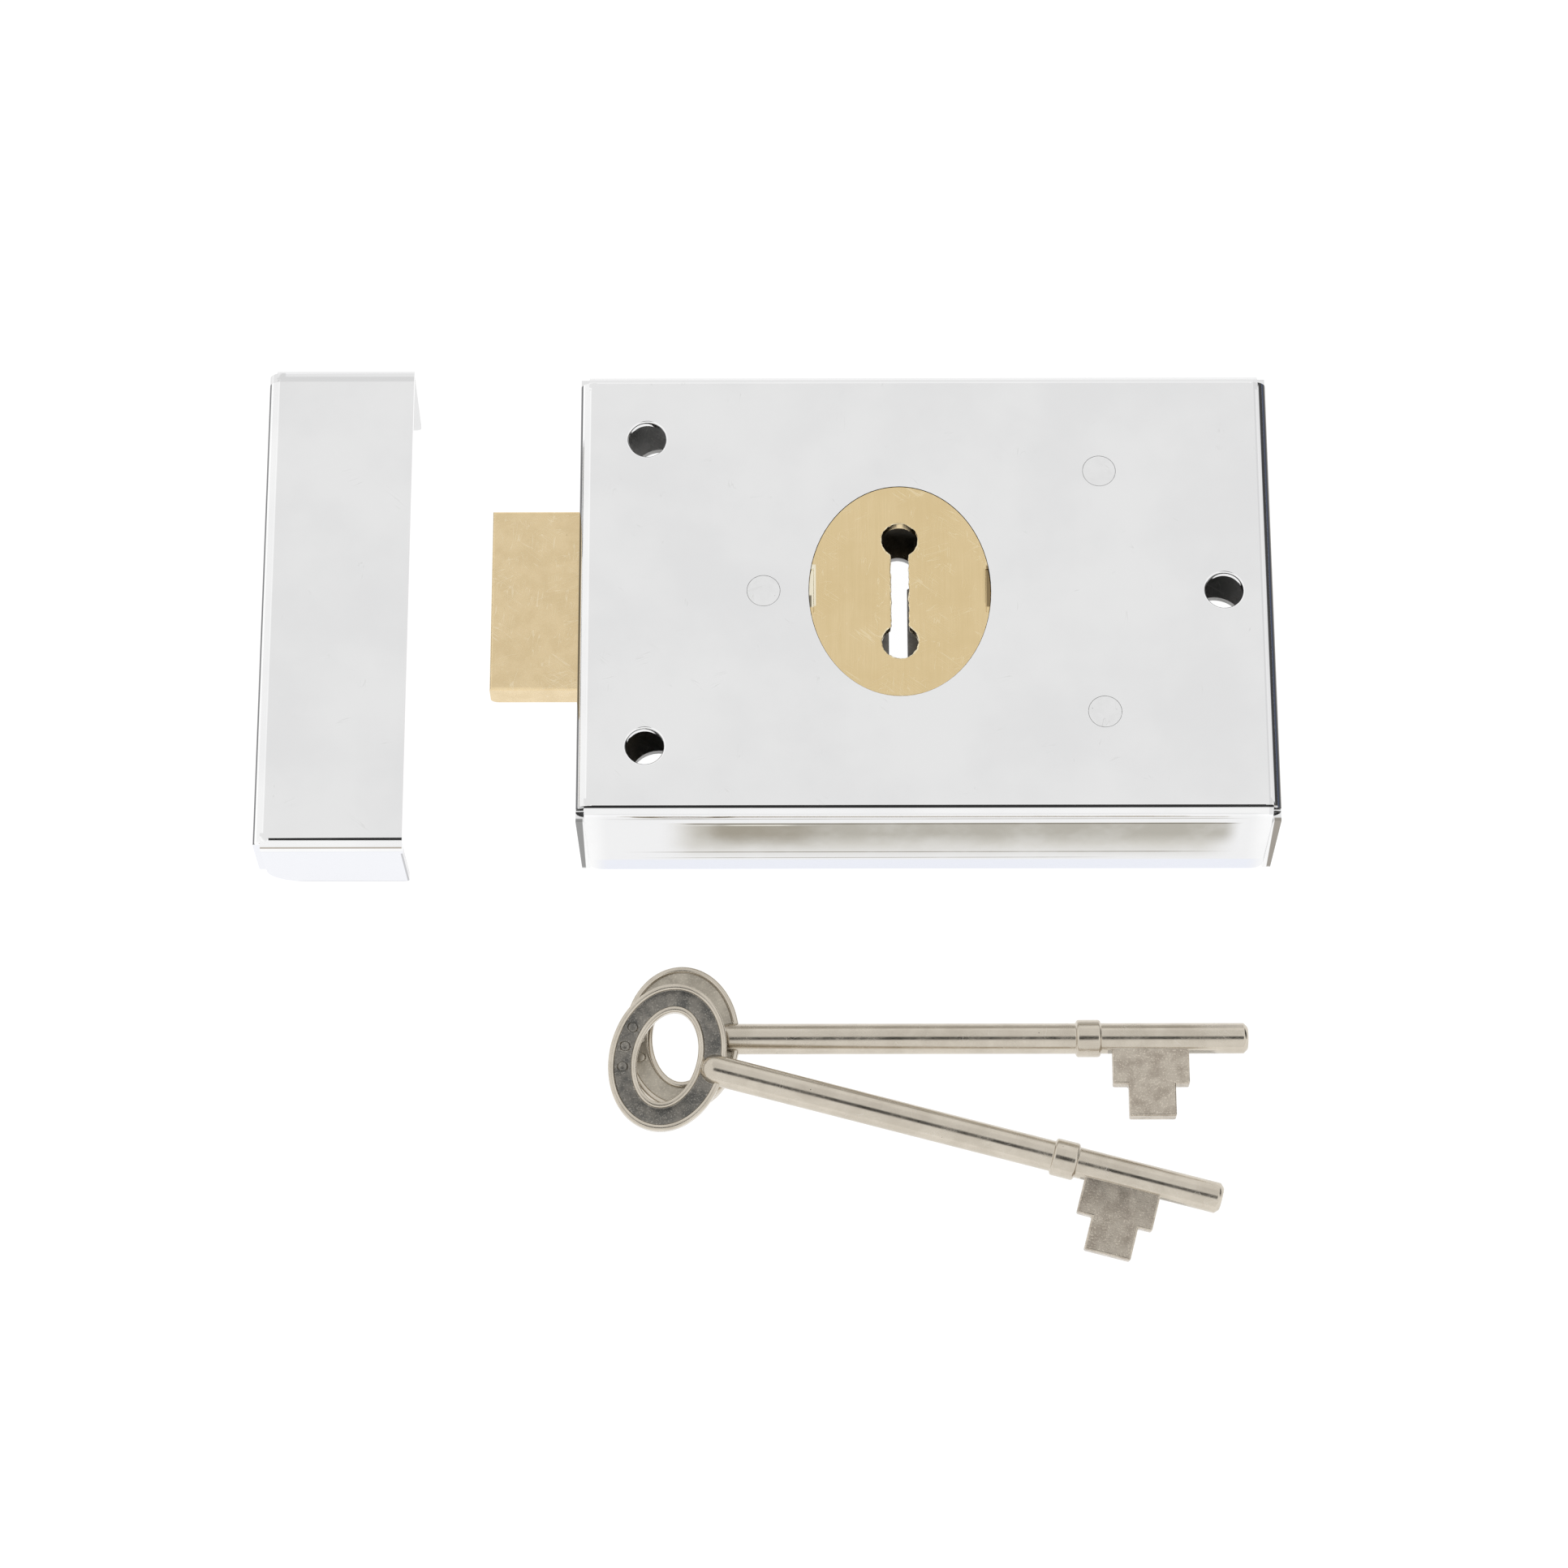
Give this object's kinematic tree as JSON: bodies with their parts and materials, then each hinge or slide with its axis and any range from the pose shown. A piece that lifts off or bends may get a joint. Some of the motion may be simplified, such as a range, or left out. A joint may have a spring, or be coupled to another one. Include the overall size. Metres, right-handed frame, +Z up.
{
  "type": "rim deadlock set",
  "caption": "Surface-mounted lever deadlock with a double-ended keyhole, a square bolt, a box keep and stepped-bit keys.",
  "frame": {"origin": "middle of the set's footprint, on the surface it is laid out on", "axes": "+Z up out of the lock's face, +X from the keep towards the lock, so the bolt throws along -X; +Y along the keep, away from the keys"},
  "size_m": [0.151, 0.1365, 0.018],
  "materials": {
    "case_chrome": "bright plated sheet with faint rubbing marks",
    "keep_chrome": "bright plated sheet with faint rubbing marks",
    "plate_brass": "brushed along its height",
    "bolt_brass": "cast and finished, lightly pitted",
    "key_nickel": "plated casting, polished shank, grained bow",
    "pillar_steel": "turned, plated over",
    "inner_steel": "pressed, oiled",
    "cap_steel": "zinc plated pressing",
    "tail_steel": "pressed, oiled",
    "lever_brass": "pressed sheet"
  },
  "bodies": {
    "lock": {"case": "case_chrome", "keyhole_plate": "plate_brass", "cap_plate": "cap_steel", "pillar_left": "pillar_steel", "pillar_upper": "pillar_steel", "pillar_lower": "pillar_steel", "bolt_guide_post": "pillar_steel", "lever_spacers": "inner_steel", "guide_ring": "inner_steel", "front_ward": "inner_steel", "rear_ward": "inner_steel"},
    "bolt": {"bolt_head": "bolt_brass", "bolt_tail": "tail_steel", "bolt_rivets": "bolt_brass", "bolt_stumps": "pillar_steel"},
    "lever_upper_front": {"lever_upper_front": "lever_brass"},
    "lever_upper_rear": {"lever_upper_rear": "lever_brass"},
    "lever_lower_front": {"lever_lower_front": "lever_brass"},
    "lever_lower_rear": {"lever_lower_rear": "lever_brass"},
    "keep": {"keep": "keep_chrome"},
    "key_back": {"key_back": "key_nickel"},
    "key_front": {"key_front": "key_nickel"}
  },
  "joints": [
    {"name": "bolt_slide", "type": "slide", "parent": "lock", "child": "bolt", "axis": [1, 0, 0], "range_m": [0, 0.0125]},
    {"name": "upper_front_lever_swing", "type": "hinge", "parent": "lock", "child": "lever_upper_front", "pos_m": [0.04983, 0.05011, 0.0104], "axis": [0, 0, 1], "range_deg": [0, 3.5]},
    {"name": "upper_rear_lever_swing", "type": "hinge", "parent": "lock", "child": "lever_upper_rear", "pos_m": [0.04983, 0.05011, 0.0104], "axis": [0, 0, 1], "range_deg": [0, 3.5]},
    {"name": "lower_front_lever_swing", "type": "hinge", "parent": "lock", "child": "lever_lower_front", "pos_m": [0.04983, 0.01111, 0.0104], "axis": [0, 0, -1], "range_deg": [0, 3.5]},
    {"name": "lower_rear_lever_swing", "type": "hinge", "parent": "lock", "child": "lever_lower_rear", "pos_m": [0.04983, 0.01111, 0.0104], "axis": [0, 0, -1], "range_deg": [0, 3.5]},
    {"name": "keep_slide", "type": "slide", "parent": "lock", "child": "keep", "axis": [1, 0, 0], "range_m": [0, 0.022]},
    {"name": "key_back_lift", "type": "slide", "parent": "lock", "child": "key_back", "axis": [0, 0, 1], "range_m": [0, 0.06]},
    {"name": "key_front_lift", "type": "slide", "parent": "key_back", "child": "key_front", "axis": [0, 0, 1], "range_m": [0, 0.06]}
  ]
}
